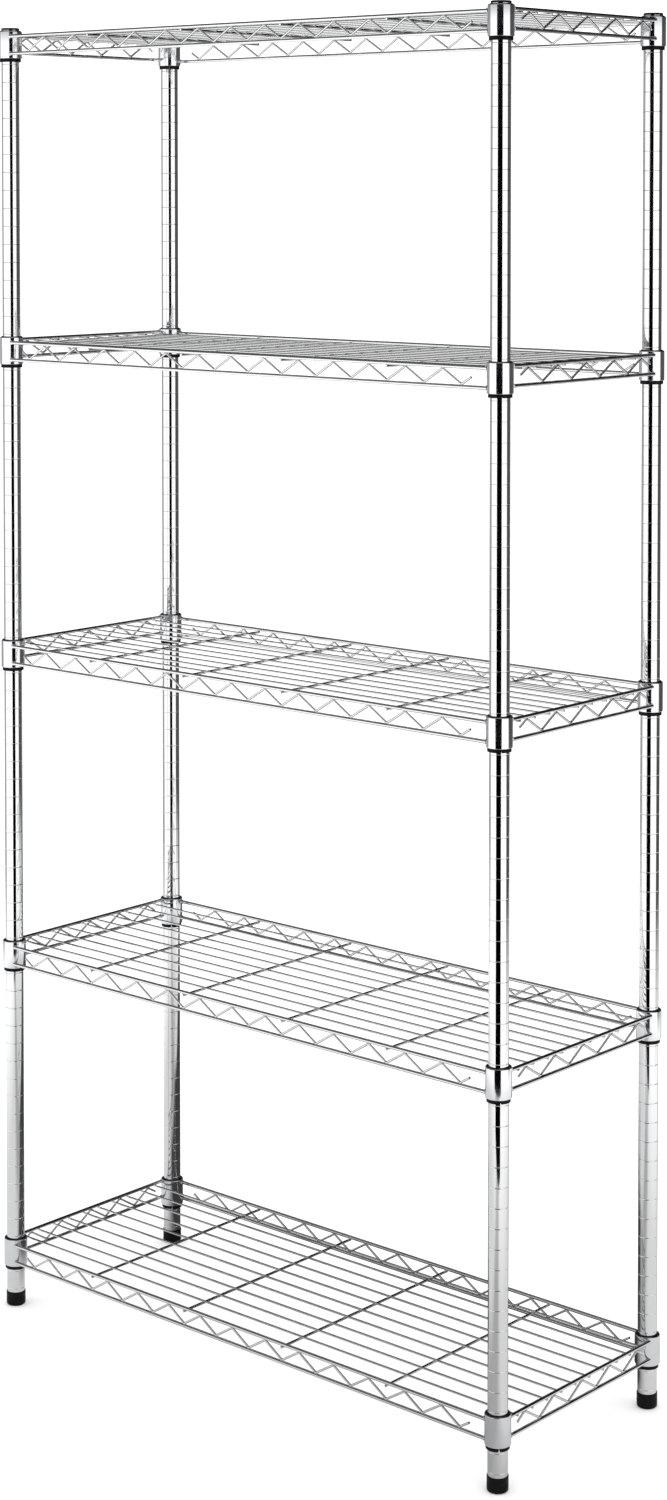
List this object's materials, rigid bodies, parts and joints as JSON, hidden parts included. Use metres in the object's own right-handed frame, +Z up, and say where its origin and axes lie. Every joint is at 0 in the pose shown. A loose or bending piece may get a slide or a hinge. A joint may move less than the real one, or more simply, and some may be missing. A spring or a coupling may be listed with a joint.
{
  "type": "wire shelving rack",
  "caption": "Tall chrome wire rack with adjustable mesh shelves clipped to four grooved tube posts on screw-in levelling feet.",
  "frame": {"origin": "on the floor under the middle of the rack, at the centre of its footprint", "axes": "+Z up the posts, +X along the shelves' long side, -Y out of the front"},
  "size_m": [0.8966, 0.3466, 1.8],
  "materials": {
    "post_chrome": "bright chrome plate on grooved steel tube",
    "wire_chrome": "bright chrome plate on welded steel wire",
    "collar_chrome": "chrome plate, slightly softer than the posts",
    "sleeve_plastic": "black moulded plastic",
    "cap_plastic": "black moulded plastic",
    "foot_plastic": "black moulded plastic, smooth",
    "zinc_steel": "zinc plated"
  },
  "bodies": {
    "frame": {"post_lower_front_left": "post_chrome", "post_upper_front_left": "post_chrome", "post_cap_front_left": "cap_plastic", "post_lower_front_right": "post_chrome", "post_upper_front_right": "post_chrome", "post_cap_front_right": "cap_plastic", "post_lower_back_left": "post_chrome", "post_upper_back_left": "post_chrome", "post_cap_back_left": "cap_plastic", "post_lower_back_right": "post_chrome", "post_upper_back_right": "post_chrome", "post_cap_back_right": "cap_plastic", "post_foot_plugs": "zinc_steel", "post_joiner_sockets": "zinc_steel", "post_joiner_plugs": "zinc_steel", "post_joiner_studs": "zinc_steel", "sleeve_halves_1_left": "sleeve_plastic", "sleeve_halves_1_right": "sleeve_plastic", "sleeve_halves_2_left": "sleeve_plastic", "sleeve_halves_2_right": "sleeve_plastic", "sleeve_halves_3_left": "sleeve_plastic", "sleeve_halves_3_right": "sleeve_plastic", "sleeve_halves_4_left": "sleeve_plastic", "sleeve_halves_4_right": "sleeve_plastic", "sleeve_halves_5_left": "sleeve_plastic", "sleeve_halves_5_right": "sleeve_plastic"},
    "shelf_1": {"shelf_1_collars": "collar_chrome", "shelf_1_rails": "wire_chrome", "shelf_1_trusses": "wire_chrome", "shelf_1_deck_wires": "wire_chrome", "shelf_1_cross_wires": "wire_chrome"},
    "shelf_2": {"shelf_2_collars": "collar_chrome", "shelf_2_rails": "wire_chrome", "shelf_2_trusses": "wire_chrome", "shelf_2_deck_wires": "wire_chrome", "shelf_2_cross_wires": "wire_chrome"},
    "shelf_3": {"shelf_3_collars": "collar_chrome", "shelf_3_rails": "wire_chrome", "shelf_3_trusses": "wire_chrome", "shelf_3_deck_wires": "wire_chrome", "shelf_3_cross_wires": "wire_chrome"},
    "shelf_4": {"shelf_4_collars": "collar_chrome", "shelf_4_rails": "wire_chrome", "shelf_4_trusses": "wire_chrome", "shelf_4_deck_wires": "wire_chrome", "shelf_4_cross_wires": "wire_chrome"},
    "shelf_5": {"shelf_5_collars": "collar_chrome", "shelf_5_rails": "wire_chrome", "shelf_5_trusses": "wire_chrome", "shelf_5_deck_wires": "wire_chrome", "shelf_5_cross_wires": "wire_chrome"},
    "foot_stud_front_left": {"foot_stud_front_left": "zinc_steel"},
    "foot_front_left": {"foot_cup_front_left": "foot_plastic"},
    "foot_stud_front_right": {"foot_stud_front_right": "zinc_steel"},
    "foot_front_right": {"foot_cup_front_right": "foot_plastic"},
    "foot_stud_back_left": {"foot_stud_back_left": "zinc_steel"},
    "foot_back_left": {"foot_cup_back_left": "foot_plastic"},
    "foot_stud_back_right": {"foot_stud_back_right": "zinc_steel"},
    "foot_back_right": {"foot_cup_back_right": "foot_plastic"}
  },
  "joints": [
    {"name": "shelf_1_lift", "type": "slide", "parent": "frame", "child": "shelf_1", "axis": [0, 0, 1], "range_m": [0, 0.38]},
    {"name": "shelf_2_lift", "type": "slide", "parent": "frame", "child": "shelf_2", "axis": [0, 0, 1], "range_m": [0, 0.38]},
    {"name": "shelf_3_lift", "type": "slide", "parent": "frame", "child": "shelf_3", "axis": [0, 0, 1], "range_m": [0, 0.38]},
    {"name": "shelf_4_lift", "type": "slide", "parent": "frame", "child": "shelf_4", "axis": [0, 0, 1], "range_m": [0, 0.38]},
    {"name": "shelf_5_lift", "type": "slide", "parent": "frame", "child": "shelf_5", "axis": [0, 0, 1], "range_m": [0, 0.06]},
    {"name": "foot_front_left_extend", "type": "slide", "parent": "frame", "child": "foot_stud_front_left", "axis": [0, 0, -1], "range_m": [0, 0.012]},
    {"name": "foot_front_left_turn", "type": "hinge", "parent": "foot_stud_front_left", "child": "foot_front_left", "pos_m": [-0.432, -0.157, 0.01], "axis": [0, 0, -1], "range_deg": [0, 2904]},
    {"name": "foot_front_right_extend", "type": "slide", "parent": "frame", "child": "foot_stud_front_right", "axis": [0, 0, -1], "range_m": [0, 0.012]},
    {"name": "foot_front_right_turn", "type": "hinge", "parent": "foot_stud_front_right", "child": "foot_front_right", "pos_m": [0.432, -0.157, 0.01], "axis": [0, 0, -1], "range_deg": [0, 2904]},
    {"name": "foot_back_left_extend", "type": "slide", "parent": "frame", "child": "foot_stud_back_left", "axis": [0, 0, -1], "range_m": [0, 0.012]},
    {"name": "foot_back_left_turn", "type": "hinge", "parent": "foot_stud_back_left", "child": "foot_back_left", "pos_m": [-0.432, 0.157, 0.01], "axis": [0, 0, -1], "range_deg": [0, 2904]},
    {"name": "foot_back_right_extend", "type": "slide", "parent": "frame", "child": "foot_stud_back_right", "axis": [0, 0, -1], "range_m": [0, 0.012]},
    {"name": "foot_back_right_turn", "type": "hinge", "parent": "foot_stud_back_right", "child": "foot_back_right", "pos_m": [0.432, 0.157, 0.01], "axis": [0, 0, -1], "range_deg": [0, 2904]}
  ],
  "couplings": [
    {"joint": "foot_front_left_turn", "follows": "foot_front_left_extend", "rad_per_m": 4188.8},
    {"joint": "foot_front_right_turn", "follows": "foot_front_right_extend", "rad_per_m": 4188.8},
    {"joint": "foot_back_left_turn", "follows": "foot_back_left_extend", "rad_per_m": 4188.8},
    {"joint": "foot_back_right_turn", "follows": "foot_back_right_extend", "rad_per_m": 4188.8}
  ]
}
